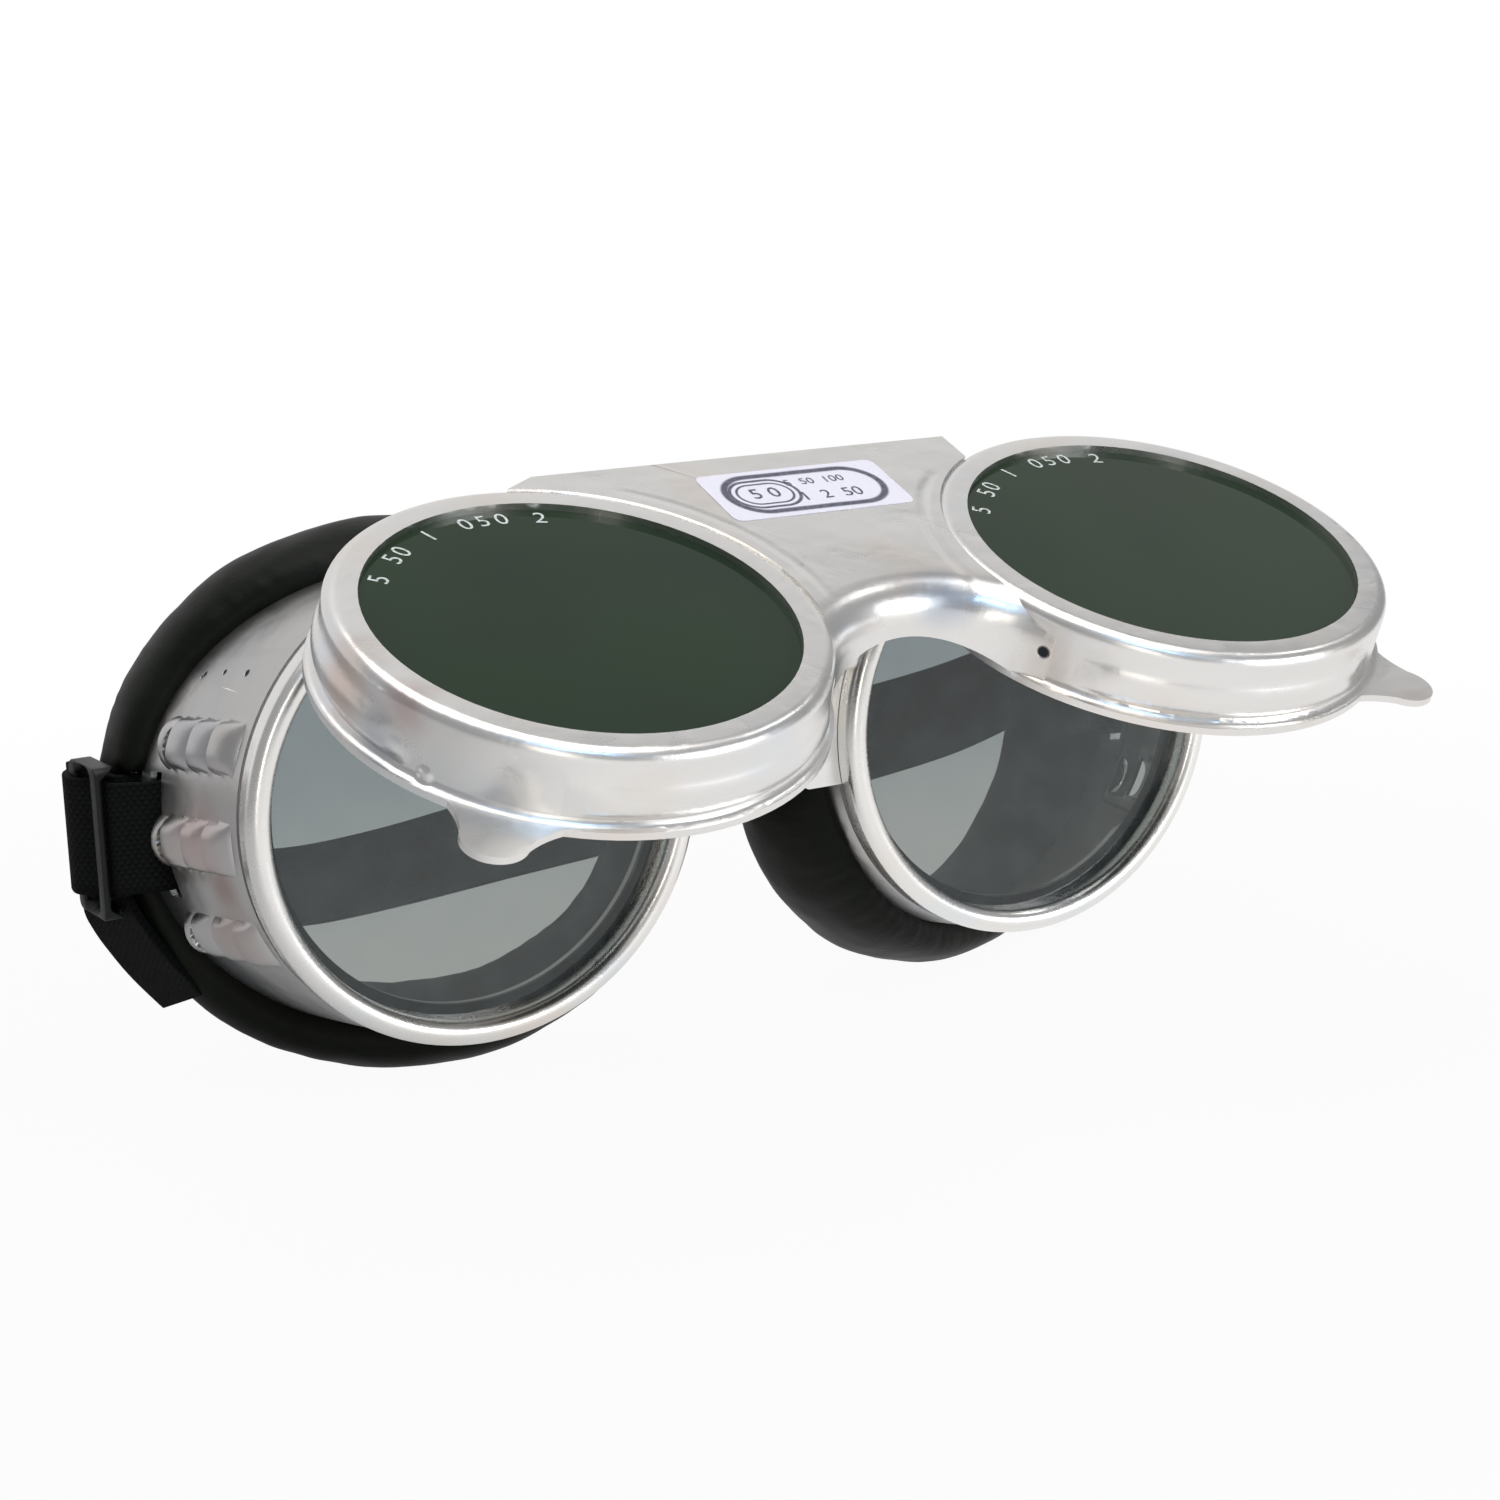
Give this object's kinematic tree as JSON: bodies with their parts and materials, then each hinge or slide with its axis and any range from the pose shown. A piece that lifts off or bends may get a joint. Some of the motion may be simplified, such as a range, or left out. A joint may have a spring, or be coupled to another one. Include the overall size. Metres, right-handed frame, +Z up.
{
  "type": "welding goggles",
  "caption": "Flip-up welding goggles: round louvred metal eye cups with soft face pads, a hinged front frame that holds dark glasses, and a woven head strap.",
  "frame": {"origin": "middle of the nose bridge, halfway between the centres of the clear glasses, on their front faces", "axes": "+X to the right seen from the front, +Y towards the wearer's face, +Z up; the fronts face -Y"},
  "size_m": [0.1447, 0.0934, 0.0707],
  "materials": {
    "aluminium_cup": "satin, drawn sheet",
    "aluminium_ring": "bright satin, spun",
    "aluminium_frame": "satin, drawn sheet",
    "aluminium_bridge": "satin",
    "clear_glass": "clear, slightly grey",
    "dark_glass": "polished, dark green",
    "gasket_rubber": "matt",
    "pad_vinyl": "soft, slightly shiny",
    "black_webbing": "ribbed weave",
    "black_slide": "gloss black",
    "steel": "plain"
  },
  "bodies": {
    "cups": {"left_cup": "aluminium_cup", "right_cup": "aluminium_cup", "left_face_pad": "pad_vinyl", "right_face_pad": "pad_vinyl", "left_clear_lens": "clear_glass", "right_clear_lens": "clear_glass", "left_lens_gasket": "gasket_rubber", "right_lens_gasket": "gasket_rubber", "left_lens_ring": "aluminium_ring", "right_lens_ring": "aluminium_ring", "nose_bridge": "aluminium_bridge", "hinge_pin": "steel", "head_strap": "black_webbing"},
    "flip": {"flip_frame": "aluminium_frame", "left_shade_lens": "dark_glass", "right_shade_lens": "dark_glass", "left_shade_spring": "steel", "right_shade_spring": "steel"},
    "slide": {"strap_slide": "black_slide"}
  },
  "joints": [
    {"name": "flip_up", "type": "hinge", "parent": "cups", "child": "flip", "pos_m": [0, -0.0011, 0.02395], "axis": [1, 0, 0], "range_deg": [-25, 67]},
    {"name": "strap_adjust", "type": "slide", "parent": "cups", "child": "slide", "axis": [-0.0262, 0.9997, 0], "range_m": [0, 0.002]}
  ]
}
